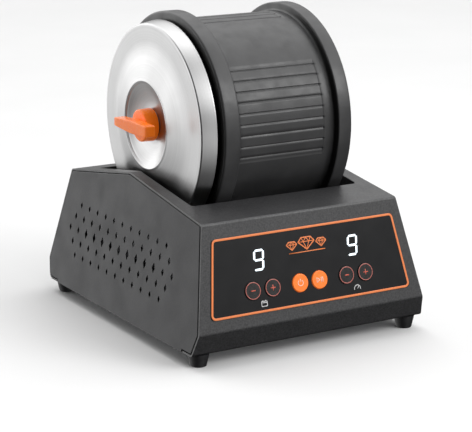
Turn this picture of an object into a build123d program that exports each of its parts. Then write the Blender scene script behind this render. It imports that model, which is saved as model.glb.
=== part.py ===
"""Rotary rock tumbler: a rubber barrel with a steel lid, turned by two rollers in a sheet-steel base.

Millimetres. X runs from the lid side (-) to the drive side (+), Y from the control panel (-) to the
rear (+), Z up. The origin lies on the floor, midway between the sides and between front and rear.
"""
from build123d import *
import os
from math import atan, cos, degrees, hypot, radians, sin

os.makedirs("parts", exist_ok=True)

# ---------------------------------------------------------------- driving dimensions
SHEET = 1.2               # folded steel of the housing
GAP = 0.3                 # between pieces that move against each other
HALF_WIDTH = 90.0         # housing at its lower edge
SIDE_SLOPE = 0.18         # how far a side leans in for each millimetre of height
BASE_Z = 8.7              # lower edge of the housing, the height of the feet
CORNERS = [               # the housing's side outline, (Y, Z), from the front's lower edge upwards
    (-105.7, BASE_Z), (-111.0, 23.6), (-93.6, 90.9), (8.7, 104.8), (95.0, 90.7), (111.0, 22.8),
    (105.7, BASE_Z)]
BEND_RADII = [3.0, 2.5, 2.0, 2.0, 2.0, 2.5, 7.0]
SIDE_SHEET = 0.8          # the side panels' thinner steel
SEAM = 0.5                # dark joint between a side panel's edge and the inside of the shell
SHELL_EDGE = 0.3          # the shell's cut edges stop this far short of the panels' outer faces
RIM = 6.0                 # side panel's rim, bent in under the shell
FLOOR_FLANGE = 12.0       # flanges turned in along the lower edge
FLANGE_END_Y = 92.5       # side flanges stop here, and the shell's begin 1 mm further out

OPENING = (128.6, 134.6)  # barrel opening in the top, X by Y
OPENING_Y = 5.3           # its middle
LIP_Z = 86.0              # lower edge of the opening's turned-down lips

BARREL_Y = 4.5
BARREL_Z = 137.1
BODY_R = 69.8
FLANGE_R = 75.5
NECK_R = 66.0
MOUTH_R = 61.5
CAVITY_R = 59.0           # corners of the ten-sided inside
NECK_X = -56.5
LEFT_FLANGE = (-44.3, -32.1)
RIGHT_FLANGE = (43.6, 54.4)
SEAT_X = -50.0            # step in the mouth that the inner lid rests on
CAVITY_END_X = 46.0
END_R = 60.0              # the disc that closes the drum's far end
GROOVE_STEP = 6.05        # degrees between the shallow grooves of one group
GROOVES_IN_GROUP = 9
GROOVE_TOP = 36.8         # the group's highest groove, degrees above the front
GROOVE_X = (-30.0, 36.0)
GROOVE_WIDTH = 1.2
GROOVE_DEPTH = 0.7

LID_R = (68.2, 70.0)      # the lid's skirt widens from its face to its open end
LID_FACE_X = -57.8
LID_SKIRT_X = -46.3
LID_SHEET = 0.9
CREST_X = -63.2
CREST_R = 29.8
DISH_X = -56.4
STUD_R = 3.0
RUN = 0.05                # radial clearance of a running fit
KNOB_X = -75.0            # outer face of the wing
HUB_X = -67.4             # the hub's outer face, which the wing stands on
KNOB_BACK_X = -58.0       # the hub's end, over the washer
WING_HALF = 23.2
WING_TIP = (2.9, 4.0)     # half the wing's height at its rear tip and at its front tip
WING_MIDDLE = 4.4
WING_CORNER = 1.3
HUB_R = 11.3

ROLLER_R = 9.0
ROLLER_REACH = 48.7       # each roller's distance in Y from the barrel's axis
SHAFT_R = 3.0
LEFT_FRAME_X = -68.0      # middles of the two roller frames
RIGHT_FRAME_X = 62.0
FRAME_PLATE = 2.0
BEARING_R = 7.0
PULLEY_X = (66.2, 72.2)
DRIVE_PULLEY_R = 14.0
MOTOR_PULLEY_R = 8.0
BELT = 1.5
MOTOR_Y = 20.0
MOTOR_Z = 34.0

PANEL_THICK = 0.6         # control overlay
BUTTON_R = 5.95
BUTTON_HOLE_R = 6.25
BUTTON_PROUD = 1.3        # above the folded sheet
BUTTON_V = 23.0           # height of the button row, measured up the panel
BUTTON_U = {"days_minus_button": -44.5, "days_plus_button": -29.5, "power_button": -8.4,
            "play_button": 6.6, "speed_minus_button": 27.7, "speed_plus_button": 42.7}
DISPLAY_U = {"days_display": -37.2, "speed_display": 35.2}
DISPLAY_V = 42.0
DISPLAY = (12.6, 19.0)
BOARD_DEPTH = 8.5         # front of the control board, behind the sheet's outer face
BOARD = 1.6

VENT_PITCH = 12.58        # diamond perforations of a side panel
VENT_ROW = 8.85
VENT_CENTRE = (8.5, 51.2)
VENT_SIZES = {"small": (3.1, 4.7), "middling": (3.4, 5.4), "large": (4.3, 7.5)}
VENT_ROWS = [(2, 11, "small"), (1, 12, "middling"), (0, 9, "large"), (-1, 12, "middling"), (-2, 11, "small")]
VENT_ENDS = [-6, -5, 5, 6]   # the middle row's outer vents are middling

# ---------------------------------------------------------------- planes worked out from them
roller_z = BARREL_Z - ((FLANGE_R + ROLLER_R + GAP) ** 2 - ROLLER_REACH ** 2) ** 0.5
drive_y = BARREL_Y + ROLLER_REACH
idler_y = BARREL_Y - ROLLER_REACH
barrel_axis = Axis((0, BARREL_Y, BARREL_Z), (1, 0, 0))
barrel_section = Plane((0, BARREL_Y, BARREL_Z), x_dir=(1, 0, 0), z_dir=(0, -1, 0))

front_low, front_top = Vector(0, *CORNERS[1]), Vector(0, *CORNERS[2])
rear_top, rear_low = Vector(0, *CORNERS[4]), Vector(0, *CORNERS[5])
front_rise = (front_top - front_low).normalized()
rear_rise = (rear_top - rear_low).normalized()
PANEL = Plane(front_low, x_dir=(1, 0, 0), z_dir=Vector(1, 0, 0).cross(front_rise))
REAR = Plane(rear_low, x_dir=(-1, 0, 0), z_dir=Vector(-1, 0, 0).cross(rear_rise))


def across(x, y=0.0, z=0.0):
    """Plane square to X at x, with its own x along Y and its own y along Z."""
    return Plane((x, y, z), x_dir=(0, 1, 0), z_dir=(1, 0, 0))


def save(piece, name):
    """Label a finished piece and write it as the node of that name."""
    piece.label = name
    export_step(piece, f"parts/{name}.step")


# ---------------------------------------------------------------- housing
def side_outline(inset):
    """Face of the housing's side outline, moved in by inset, with its bends rounded."""
    with BuildSketch(Plane.YZ) as outline:
        with BuildLine():
            Polyline(CORNERS, close=True)
        make_face()
        if inset > 0:
            offset(amount=-inset, kind=Kind.INTERSECTION, mode=Mode.REPLACE)
        for corner, radius in zip(CORNERS, BEND_RADII):
            fillet(outline.vertices().sort_by_distance(corner)[0], max(radius - inset, 1.2))
    return outline.sketch


def side_plane(side, inset):
    """Leaning plane of one side (side is -1 or 1), moved in by inset and facing outwards."""
    outward = Vector(side, 0, SIDE_SLOPE).normalized()
    return Plane(Vector(side * HALF_WIDTH, 0, BASE_Z) - outward * inset, z_dir=outward)


def side_slab(face, side, near, far):
    """The face carried across the housing, kept between two insets from that side's plane."""
    with BuildPart() as slab:
        extrude(face, amount=side * HALF_WIDTH)
        split(bisect_by=side_plane(side, near), keep=Keep.BOTTOM)
        split(bisect_by=side_plane(side, far), keep=Keep.TOP)
    return slab.part


def on_opening_rim(point):
    """Whether a point lies on the upper outline of the barrel opening."""
    past_x, past_y = abs(point.X) - OPENING[0] / 2, abs(point.Y - OPENING_Y) - OPENING[1] / 2
    return point.Z > LIP_Z + 1 and -1 < max(past_x, past_y) < 0.1


with BuildPart() as main_shell:
    extrude(side_outline(0), amount=HALF_WIDTH, both=True)
    extrude(side_outline(SHEET), amount=HALF_WIDTH, both=True, mode=Mode.SUBTRACT)
    with BuildSketch(Plane.XY):
        Rectangle(2 * HALF_WIDTH, 2 * FLANGE_END_Y + 2)
    extrude(amount=BASE_Z + 2 * SHEET, mode=Mode.SUBTRACT)
    with BuildSketch(Plane.XY.offset(LIP_Z)):
        with Locations((0, OPENING_Y)):
            RectangleRounded(OPENING[0] + 2 * SHEET, OPENING[1] + 2 * SHEET, 2.5 + SHEET)
    extrude(amount=30)
    extrude(side_outline(0), amount=HALF_WIDTH, both=True, mode=Mode.INTERSECT)
    with BuildSketch(Plane.XY.offset(LIP_Z - 1)):
        with Locations((0, OPENING_Y)):
            RectangleRounded(OPENING[0], OPENING[1], 2.5)
    extrude(amount=30, mode=Mode.SUBTRACT)
    fillet([edge for edge in main_shell.edges() if on_opening_rim(edge.center())], 0.7)
    for side in (-1, 1):
        split(bisect_by=side_plane(side, SHELL_EDGE), keep=Keep.BOTTOM)
    with BuildSketch(PANEL.offset(-SHEET - 1)):
        with Locations([(u, BUTTON_V) for u in BUTTON_U.values()]):
            Circle(BUTTON_HOLE_R)
        with Locations([(u, DISPLAY_V) for u in DISPLAY_U.values()]):
            Rectangle(DISPLAY[0] + 0.4, DISPLAY[1] + 0.4)
    extrude(amount=SHEET + 2, mode=Mode.SUBTRACT)
    INLET_AT = (55.0, 20.0)
    with BuildSketch(REAR.offset(-SHEET - 1)):
        with Locations(INLET_AT):
            Circle(4.1)
    extrude(amount=SHEET + 2, mode=Mode.SUBTRACT)

FOOT_X = 80.6
FOOT_Y = {"front": -98.7, "rear": 96.6}
FOOT_PLACES = [(side * FOOT_X, y) for side in (-1, 1) for y in FOOT_Y.values()]
BASE_SCREWS = [(x, y) for y in (-97.4, 97.4) for x in (-50, 0, 50)]
BASE_SCREWS += [(x, y) for x in (-81.5, 81.5) for y in (-80, 79.5)]

with BuildPart() as low_holes:
    with BuildSketch(Plane.XY.offset(BASE_Z - 1)):
        with Locations(*FOOT_PLACES, *BASE_SCREWS):
            Circle(1.7)
    extrude(amount=5)

with BuildPart() as main_shell_drilled:
    add(main_shell.part)
    add(low_holes.part, mode=Mode.SUBTRACT)
save(main_shell_drilled.part, "main_shell")

pan_outline = side_outline(SHEET + SEAM)
rim_outline = pan_outline - side_outline(SHEET + SEAM + SIDE_SHEET)
with BuildSketch(Plane.YZ) as low_strip:
    with Locations((0, BASE_Z + 4)):
        Rectangle(2 * FLANGE_END_Y, 8)

for name, side in (("left_side_panel", -1), ("right_side_panel", 1)):
    with BuildPart() as side_panel:
        add(side_slab(pan_outline, side, 0, SIDE_SHEET))
        outer = side_panel.faces().sort_by(Axis((0, 0, 0), (side, 0, SIDE_SLOPE)))[-1]
        fillet(outer.edges(), 0.65)
        add(side_slab(low_strip.sketch, side, 0, SIDE_SHEET))
        add(side_slab(rim_outline, side, SIDE_SHEET, SIDE_SHEET + RIM))
        with BuildSketch(Plane.XY):
            Rectangle(2 * (HALF_WIDTH - 3), 230)
        extrude(amount=BASE_Z + 5, mode=Mode.SUBTRACT)
        with BuildSketch(Plane.XY.offset(BASE_Z)):
            with Locations((side * (HALF_WIDTH - SIDE_SHEET + 0.2 - FLOOR_FLANGE / 2), 0)):
                Rectangle(FLOOR_FLANGE, 2 * FLANGE_END_Y)
        extrude(amount=SHEET)
        vents = [(row, [i - (count - 1) / 2 for i in range(count)], size) for row, count, size in VENT_ROWS]
        for row, steps, size in vents + [(0, VENT_ENDS, "middling")]:
            width, height = VENT_SIZES[size]
            with BuildSketch(Plane.YZ):
                with Locations([(VENT_CENTRE[0] + step * VENT_PITCH, VENT_CENTRE[1] + row * VENT_ROW)
                                for step in steps]):
                    Polygon((width / 2, 0), (0, height / 2), (-width / 2, 0), (0, -height / 2))
            extrude(amount=side * HALF_WIDTH, mode=Mode.SUBTRACT)
        add(low_holes.part, mode=Mode.SUBTRACT)
    save(side_panel.part, name)

# The steel bottom lies on the flanges, with louvre slots under the motor and four tapped holes for
# each roller frame's screws.
PLATE_Z = BASE_Z + SHEET + 0.05
plate_top = PLATE_Z + SHEET
FRAME_SCREW_Y = (-46.0, 55.0)
FRAME_SCREW_X = (LEFT_FRAME_X - 8, RIGHT_FRAME_X + 8)
with BuildPart() as base_plate:
    with BuildSketch(Plane.XY.offset(PLATE_Z)):
        with Locations((0, -1)):
            RectangleRounded(173, 204, 4)
        with Locations(*FOOT_PLACES, *BASE_SCREWS):
            Circle(1.65, mode=Mode.SUBTRACT)
        with Locations([(x, y) for x in FRAME_SCREW_X for y in FRAME_SCREW_Y]):
            Circle(2.05, mode=Mode.SUBTRACT)
        with Locations((0, 20)):
            with GridLocations(10, 30, 9, 2):
                SlotOverall(20, 3.5, rotation=90, mode=Mode.SUBTRACT)
    extrude(amount=SHEET)
save(base_plate.part, "base_plate")

for side, side_name in ((-1, "left"), (1, "right")):
    for end, y in FOOT_Y.items():
        with BuildPart() as foot:
            with Locations((side * FOOT_X, y, BASE_Z / 2)):
                Cone(bottom_radius=5.2, top_radius=7.15, height=BASE_Z)
            fillet(foot.edges().group_by(Axis.Z)[0], 0.6)
            with BuildSketch(Plane.XY.offset(BASE_Z - 6)):
                with Locations((side * FOOT_X, y)):
                    Circle(1.55)
            extrude(amount=6, mode=Mode.SUBTRACT)
        save(foot.part, f"{end}_{side_name}_foot")


def screws(plane, places, head_r, head_h, shank_r, shank):
    """Pan-head screws: heads stand on the plane at places, shanks run the other way from it."""
    with BuildPart() as group:
        with BuildSketch(plane):
            with Locations(*places):
                Circle(head_r)
        extrude(amount=head_h)
        fillet(group.edges().group_by(Axis(plane.origin, plane.z_dir))[-1], min(head_h, head_r) * 0.35)
        with BuildSketch(plane.offset(head_h)):
            with Locations(*places):
                Rectangle(head_r * 1.1, 0.7)
                Rectangle(0.7, head_r * 1.1)
        extrude(amount=-head_h * 0.4, mode=Mode.SUBTRACT)
        with BuildSketch(plane):
            with Locations(*places):
                Circle(shank_r)
        extrude(amount=-shank)
    return group.part


save(screws(Plane.XY.offset(plate_top), FOOT_PLACES, 2.9, 1.9, 1.5, 7.5), "foot_screws")
downward = Plane((0, 0, BASE_Z), x_dir=(1, 0, 0), z_dir=(0, 0, -1))
save(screws(downward, [(x, -y) for x, y in BASE_SCREWS], 2.9, 1.3, 1.5, 6.0), "base_screws")

# ---------------------------------------------------------------- control panel
BORDER_HALF = (77.2, 69.7)   # overlay's half widths at its lower and upper edges
BORDER_V = (8.1, 59.2)
with BuildPart() as control_overlay:
    with BuildSketch(PANEL) as overlay_outline:
        Polygon((-BORDER_HALF[0], BORDER_V[0]), (BORDER_HALF[0], BORDER_V[0]),
                (BORDER_HALF[1], BORDER_V[1]), (-BORDER_HALF[1], BORDER_V[1]), align=None)
        fillet(overlay_outline.vertices(), 2.6)
        with Locations([(u, BUTTON_V) for u in BUTTON_U.values()]):
            Circle(BUTTON_HOLE_R, mode=Mode.SUBTRACT)
    extrude(amount=PANEL_THICK)
save(control_overlay.part, "control_overlay")

for name, u in BUTTON_U.items():
    with BuildPart() as button:
        with BuildSketch(PANEL.offset(-SHEET - GAP)):
            with Locations((u, BUTTON_V)):
                Circle(BUTTON_R)
        extrude(amount=SHEET + GAP + BUTTON_PROUD)
        fillet(button.edges().group_by(Axis(PANEL.origin, PANEL.z_dir))[-1], 0.5)
        with BuildSketch(PANEL.offset(-SHEET - GAP)):
            with Locations((u, BUTTON_V)):
                Circle(6.9)
        extrude(amount=-1.2)
        with BuildSketch(PANEL.offset(-SHEET - GAP - 1.2)):
            with Locations((u, BUTTON_V)):
                Circle(1.5)
        extrude(amount=-3.5)
    save(button.part, name)

STANDOFFS = [(x, v) for x in (-60, 60) for v in (15, 51)]
with BuildPart() as control_board:
    with BuildSketch(PANEL.offset(-BOARD_DEPTH)):
        with Locations((0, 33)):
            RectangleRounded(133, 44, 2)
        with Locations(*STANDOFFS):
            Circle(1.5, mode=Mode.SUBTRACT)
    extrude(amount=-BOARD)
save(control_board.part, "control_board")

with BuildPart() as tact_switches:
    with BuildSketch(PANEL.offset(-BOARD_DEPTH)):
        with Locations([(u, BUTTON_V) for u in BUTTON_U.values()]):
            Rectangle(6, 6)
    extrude(amount=3.5)
    with BuildSketch(PANEL.offset(-BOARD_DEPTH + 1)):
        with Locations([(u, BUTTON_V) for u in BUTTON_U.values()]):
            Circle(1.8)
    extrude(amount=3, mode=Mode.SUBTRACT)
save(tact_switches.part, "tact_switches")

for name, u in DISPLAY_U.items():
    with BuildPart() as display:
        with BuildSketch(PANEL.offset(-BOARD_DEPTH)):
            with Locations((u, DISPLAY_V)):
                Rectangle(*DISPLAY)
        extrude(amount=BOARD_DEPTH - 0.05)
    save(display.part, name)

with BuildPart() as board_standoffs:
    with BuildSketch(PANEL.offset(-BOARD_DEPTH)):
        with Locations(*STANDOFFS):
            Circle(3)
            Circle(1.35, mode=Mode.SUBTRACT)
    extrude(amount=BOARD_DEPTH - SHEET)
save(board_standoffs.part, "board_standoffs")
inward = Plane(PANEL.offset(-BOARD_DEPTH - BOARD).origin, x_dir=(1, 0, 0), z_dir=PANEL.z_dir * -1)
save(screws(inward, [(x, -v) for x, v in STANDOFFS], 2.6, 1.7, 1.3, 6.5), "board_screws")

# ---------------------------------------------------------------- power inlet and driver board
with BuildPart() as power_inlet:
    with BuildSketch(REAR):
        with Locations(INLET_AT):
            Circle(6.5)
    extrude(amount=1.5)
    fillet(power_inlet.edges().group_by(Axis(REAR.origin, REAR.z_dir))[-1], 0.5)
    with BuildSketch(REAR):
        with Locations(INLET_AT):
            Circle(4.0)
    extrude(amount=-12)
    with BuildSketch(REAR.offset(1.5)):
        with Locations(INLET_AT):
            Circle(2.75)
            Circle(1.0, mode=Mode.SUBTRACT)
    extrude(amount=-10.5, mode=Mode.SUBTRACT)
save(power_inlet.part, "power_inlet")

with BuildPart() as inlet_nut:
    with BuildSketch(REAR.offset(-SHEET - 0.05)):
        with Locations(INLET_AT):
            RegularPolygon(6.5, 6)
            Circle(4.03, mode=Mode.SUBTRACT)
    extrude(amount=-2)
save(inlet_nut.part, "inlet_nut")

DRIVER_Z = 17.0
DRIVER_MIDDLE = (-5.0, -66.0)
DRIVER_POSTS = [(DRIVER_MIDDLE[0] + x, DRIVER_MIDDLE[1] + y) for x in (-35, 35) for y in (-17, 17)]
with BuildPart() as driver_board:
    with BuildSketch(Plane.XY.offset(DRIVER_Z)):
        with Locations(DRIVER_MIDDLE):
            RectangleRounded(78, 42, 2)
    extrude(amount=BOARD)
save(driver_board.part, "driver_board")

with BuildPart() as driver_posts:
    with BuildSketch(Plane.XY.offset(plate_top)):
        with Locations(*DRIVER_POSTS):
            Circle(3)
    extrude(amount=DRIVER_Z - plate_top)
save(driver_posts.part, "driver_posts")

with BuildPart() as driver_parts:
    with BuildSketch(Plane.XY.offset(DRIVER_Z + BOARD)):
        with Locations((-30, -62), (-16, -62)):
            Circle(5)
        with Locations((20, -58)):
            Rectangle(14, 10)
    extrude(amount=16)
    with BuildSketch(Plane.XY.offset(DRIVER_Z + BOARD)):
        with Locations((2, -76)):
            Rectangle(24, 8)
        with Locations((24, -77)):
            Rectangle(10, 6)
        with Locations((0, -60)):
            Rectangle(12, 12)
    extrude(amount=6)
save(driver_parts.part, "driver_parts")

# ---------------------------------------------------------------- roller frames and bearings
ROLLER_FRAMES = (("left_roller_frame", LEFT_FRAME_X, -1), ("right_roller_frame", RIGHT_FRAME_X, 1))
for name, middle, turn in ROLLER_FRAMES:
    with BuildPart() as frame:
        with BuildSketch(across(middle - FRAME_PLATE / 2)) as plate:
            Polygon((-66, plate_top), (76, plate_top),
                    (drive_y + 13, roller_z + 6), (drive_y + 8, roller_z + 12),
                    (idler_y - 8, roller_z + 12), (idler_y - 13, roller_z + 6), align=None)
            with Locations((drive_y, roller_z), (idler_y, roller_z)):
                Circle(BEARING_R + 0.02, mode=Mode.SUBTRACT)
        extrude(amount=FRAME_PLATE)
        if turn > 0:
            with BuildSketch(across(middle - FRAME_PLATE / 2, MOTOR_Y, MOTOR_Z)):
                Circle(6.2)
                with PolarLocations(15, 4, start_angle=45):
                    Circle(1.7)
            extrude(amount=FRAME_PLATE, mode=Mode.SUBTRACT)
        with BuildSketch(Plane.XY.offset(plate_top)):
            with Locations((middle + turn * 7, 5)):
                Rectangle(14, 142)
            with Locations([(middle + turn * 8, y) for y in FRAME_SCREW_Y]):
                Circle(2.1, mode=Mode.SUBTRACT)
        extrude(amount=FRAME_PLATE)
        with BuildSketch(Plane.XY.offset(plate_top)):
            with Locations([(middle + turn * 8, y) for y in FRAME_SCREW_Y]):
                Circle(2.1)
        extrude(amount=FRAME_PLATE, mode=Mode.SUBTRACT)
    save(frame.part, name)

frame_screw_places = [(x, y) for x in FRAME_SCREW_X for y in FRAME_SCREW_Y]
frame_foot = Plane.XY.offset(plate_top + FRAME_PLATE)
save(screws(frame_foot, frame_screw_places, 3.6, 2.4, 2.0, 3.2), "frame_screws")

BEARING_LENGTH = 6.0
LEFT_BEARING_X = LEFT_FRAME_X - BEARING_LENGTH / 2
RIGHT_BEARING_X = RIGHT_FRAME_X - BEARING_LENGTH / 2
with BuildPart() as roller_bearings:
    for start in (LEFT_BEARING_X, RIGHT_BEARING_X):
        with BuildSketch(across(start)):
            with Locations((drive_y, roller_z), (idler_y, roller_z)):
                Circle(BEARING_R)
                Circle(SHAFT_R + RUN, mode=Mode.SUBTRACT)
        extrude(amount=BEARING_LENGTH)
save(roller_bearings.part, "roller_bearings")


def round_bar(start, end, y, z, radius, bore=0.0):
    """Round bar or sleeve along X from start to end, with its end edges eased."""
    with BuildPart() as bar:
        with BuildSketch(across(start, y, z)):
            Circle(radius)
        extrude(amount=end - start)
        chamfer(bar.edges().filter_by(GeomType.CIRCLE), 0.4)
        if bore > 0:
            with BuildSketch(across(start, y, z)):
                Circle(bore)
            extrude(amount=end - start, mode=Mode.SUBTRACT)
    return bar.part


SHAFT_START = -74.0
SLEEVES = [(-50.0, -28.0), (38.0, 58.0)]
for name, y, end in (("drive", drive_y, 73.5), ("idler", idler_y, 67.0)):
    save(round_bar(SHAFT_START, end, y, roller_z, SHAFT_R), f"{name}_shaft")
    with BuildPart() as sleeves:
        for first, last in SLEEVES:
            add(round_bar(first, last, y, roller_z, ROLLER_R, SHAFT_R + 0.02))
    save(sleeves.part, f"{name}_roller_sleeves")
    with BuildPart() as clips:
        for first in (LEFT_BEARING_X - GAP - 0.8, RIGHT_BEARING_X + BEARING_LENGTH + GAP):
            with BuildSketch(across(first, y, roller_z)):
                Circle(5.2)
                Circle(SHAFT_R + 0.02, mode=Mode.SUBTRACT)
            extrude(amount=0.8)
    save(clips.part, f"{name}_shaft_clips")


# ---------------------------------------------------------------- motor, pulleys and belt
def pulley(y, z, radius):
    """Flanged belt pulley between the PULLEY_X planes, bored for the shaft."""
    width = PULLEY_X[1] - PULLEY_X[0]
    with BuildPart() as wheel:
        with BuildSketch(across(PULLEY_X[0], y, z)):
            Circle(radius)
        extrude(amount=width)
        for first in (PULLEY_X[0], PULLEY_X[1] - 0.7):
            with BuildSketch(across(first, y, z)):
                Circle(radius + 2)
            extrude(amount=0.7)
        with BuildSketch(across(PULLEY_X[0], y, z)):
            Circle(SHAFT_R + 0.02)
        extrude(amount=width, mode=Mode.SUBTRACT)
    return wheel.part


save(pulley(drive_y, roller_z, DRIVE_PULLEY_R), "drive_pulley")
save(pulley(MOTOR_Y, MOTOR_Z, MOTOR_PULLEY_R), "motor_pulley")


def belt_face(spread):
    """Face inside a tight loop round both pulleys, spread beyond their grooves."""
    with BuildSketch(across(PULLEY_X[0] + 1.0)) as loop:
        with BuildLine():
            CenterArc((drive_y, roller_z), DRIVE_PULLEY_R + spread, 0, 360)
            CenterArc((MOTOR_Y, MOTOR_Z), MOTOR_PULLEY_R + spread, 0, 360)
        make_hull()
    return loop.sketch


with BuildPart() as drive_belt:
    extrude(belt_face(GAP + BELT), amount=4.0)
    extrude(belt_face(GAP), amount=4.0, mode=Mode.SUBTRACT)
save(drive_belt.part, "drive_belt")

gearbox_face = RIGHT_FRAME_X - FRAME_PLATE / 2
with BuildPart() as gearbox:
    with BuildSketch(across(gearbox_face - 24, MOTOR_Y, MOTOR_Z)):
        Circle(18.5)
    extrude(amount=24)
    chamfer(gearbox.edges().filter_by(GeomType.CIRCLE), 0.6)
    with BuildSketch(across(gearbox_face, MOTOR_Y, MOTOR_Z)):
        Circle(6)
    extrude(amount=3)
    with BuildSketch(across(gearbox_face - 8, MOTOR_Y, MOTOR_Z)):
        Circle(SHAFT_R + RUN)
    extrude(amount=11, mode=Mode.SUBTRACT)
    with BuildSketch(across(gearbox_face - 6, MOTOR_Y, MOTOR_Z)):
        with PolarLocations(15, 4, start_angle=45):
            Circle(1.55)
    extrude(amount=6, mode=Mode.SUBTRACT)
save(gearbox.part, "gearbox")

with BuildPart() as motor_can:
    with BuildSketch(across(gearbox_face - 24, MOTOR_Y, MOTOR_Z)):
        Circle(17.8)
    extrude(amount=-50)
    fillet(motor_can.edges().group_by(Axis.X)[0], 2)
    with BuildSketch(across(gearbox_face - 74, MOTOR_Y, MOTOR_Z)):
        Circle(6)
    extrude(amount=-3)
save(motor_can.part, "motor_can")
save(round_bar(gearbox_face - 7.7, 73.5, MOTOR_Y, MOTOR_Z, SHAFT_R), "motor_shaft")

motor_screw_places = [(15 * cos(radians(a)), 15 * sin(radians(a))) for a in (45, 135, 225, 315)]
motor_side = across(RIGHT_FRAME_X + FRAME_PLATE / 2, MOTOR_Y, MOTOR_Z)
save(screws(motor_side, motor_screw_places, 2.7, 1.8, 1.5, 6.5),
     "motor_screws")

# ---------------------------------------------------------------- barrel
with BuildPart() as barrel_drum:
    with BuildSketch(barrel_section) as drum:
        Polygon((NECK_X, 0), (NECK_X, NECK_R), (LEFT_FLANGE[0], NECK_R), (LEFT_FLANGE[0], FLANGE_R),
                (LEFT_FLANGE[1], FLANGE_R), (LEFT_FLANGE[1], BODY_R), (RIGHT_FLANGE[0], BODY_R),
                (RIGHT_FLANGE[0], FLANGE_R), (RIGHT_FLANGE[1], FLANGE_R), (RIGHT_FLANGE[1], 0), align=None)
        flange_corners = drum.vertices().filter_by(lambda v: v.Z > BARREL_Z + FLANGE_R - 0.1)
        body_corners = drum.vertices().filter_by(lambda v: abs(v.Z - BARREL_Z - BODY_R) < 0.1)
        fillet(flange_corners, 1.4)
        fillet(body_corners, 1.8)
        fillet(drum.vertices().sort_by_distance((NECK_X, NECK_R))[0], 1.0)
    revolve(axis=barrel_axis)
    with BuildSketch(across(NECK_X, BARREL_Y, BARREL_Z)):
        Circle(MOUTH_R)
    extrude(amount=SEAT_X - NECK_X, mode=Mode.SUBTRACT)
    with BuildSketch(across(SEAT_X, BARREL_Y, BARREL_Z)):
        RegularPolygon(CAVITY_R, 10)
    extrude(amount=CAVITY_END_X - SEAT_X, mode=Mode.SUBTRACT)
    with BuildSketch(across(CAVITY_END_X, BARREL_Y, BARREL_Z)):
        Circle(END_R)
    extrude(amount=20, mode=Mode.SUBTRACT)
    with BuildSketch(across(GROOVE_X[0], BARREL_Y, BARREL_Z)):
        for quarter in range(4):
            first = 180 - GROOVE_TOP + 90 * quarter
            with PolarLocations(BODY_R, GROOVES_IN_GROUP, first, GROOVE_STEP * GROOVES_IN_GROUP):
                Rectangle(2 * GROOVE_DEPTH, GROOVE_WIDTH)
    extrude(amount=GROOVE_X[1] - GROOVE_X[0], mode=Mode.SUBTRACT)
save(barrel_drum.part, "barrel_drum")

# The closed end is a disc bonded into the drum, set back around a central boss.
with BuildPart() as barrel_end:
    with BuildSketch(across(CAVITY_END_X, BARREL_Y, BARREL_Z)):
        Circle(END_R)
    extrude(amount=RIGHT_FLANGE[1] - 2 - CAVITY_END_X)
    with BuildSketch(across(CAVITY_END_X, BARREL_Y, BARREL_Z)):
        Circle(16)
    extrude(amount=RIGHT_FLANGE[1] - CAVITY_END_X)
    fillet(barrel_end.edges().sort_by(Axis.X)[-1], 0.6)
save(barrel_end.part, "barrel_end")

INNER_LID = 3.0
with BuildPart() as inner_lid:
    with BuildSketch(across(SEAT_X - INNER_LID, BARREL_Y, BARREL_Z)):
        Circle(MOUTH_R - 0.3)
        Circle(STUD_R + RUN, mode=Mode.SUBTRACT)
    extrude(amount=INNER_LID)
save(inner_lid.part, "inner_lid")

with BuildPart() as lid_seal:
    with BuildSketch(across(LID_FACE_X + LID_SHEET + 0.2, BARREL_Y, BARREL_Z)):
        Circle(MOUTH_R - 0.3)
        Circle(MOUTH_R - 5, mode=Mode.SUBTRACT)
    extrude(amount=SEAT_X - INNER_LID - GAP - LID_FACE_X - LID_SHEET - 0.2)
save(lid_seal.part, "lid_seal")

with BuildPart() as outer_lid:
    with BuildSketch(barrel_section):
        with BuildLine():
            skirt = Line((LID_SKIRT_X, LID_R[1]), (LID_FACE_X + 1.6, LID_R[0]))
            edge = RadiusArc(skirt @ 1, (LID_FACE_X, LID_R[0] - 1.6), 1.6)
            ring = Line(edge @ 1, (LID_FACE_X, 57))
            dome = Spline(ring @ 1, (CREST_X, CREST_R), tangents=[(0, -1), (-0.26, -1)])
            dish = Spline(dome @ 1, (DISH_X, 12), tangents=[(0.7, -1), (0, -1)])
            floor_line = Line(dish @ 1, (DISH_X, STUD_R + 0.4))
            inner_start = Line(floor_line @ 1, (DISH_X + LID_SHEET, STUD_R + 0.4))
            inner_floor = Line(inner_start @ 1, (DISH_X + LID_SHEET, 12))
            inner_dish = Spline(inner_floor @ 1, (CREST_X + LID_SHEET, CREST_R),
                                tangents=[(0, 1), (-0.7, 1)])
            inner_dome = Spline(inner_dish @ 1, (LID_FACE_X + LID_SHEET, 57), tangents=[(0.26, 1), (0, 1)])
            inner_ring = Line(inner_dome @ 1, (LID_FACE_X + LID_SHEET, LID_R[0] - 1.6))
            inner_edge = RadiusArc(inner_ring @ 1, (LID_FACE_X + 1.6, LID_R[0] - LID_SHEET), -0.7)
            inner_skirt = Line(inner_edge @ 1, (LID_SKIRT_X, LID_R[1] - LID_SHEET))
            Line(inner_skirt @ 1, skirt @ 0)
        make_face()
    revolve(axis=barrel_axis)
save(outer_lid.part, "outer_lid")

STUD_HEAD = 2.0
with BuildPart() as lid_stud:
    with BuildSketch(across(SEAT_X + GAP, BARREL_Y, BARREL_Z)):
        Circle(7)
    extrude(amount=STUD_HEAD)
    with BuildSketch(across(SEAT_X + GAP, BARREL_Y, BARREL_Z)):
        Circle(STUD_R)
    extrude(amount=-72.0 - SEAT_X - GAP)
save(lid_stud.part, "lid_stud")

with BuildPart() as knob_washer:
    with BuildSketch(across(DISH_X - GAP - 1.0, BARREL_Y, BARREL_Z)):
        Circle(9)
        Circle(STUD_R + 0.35, mode=Mode.SUBTRACT)
    extrude(amount=1.0)
save(knob_washer.part, "knob_washer")

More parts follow.
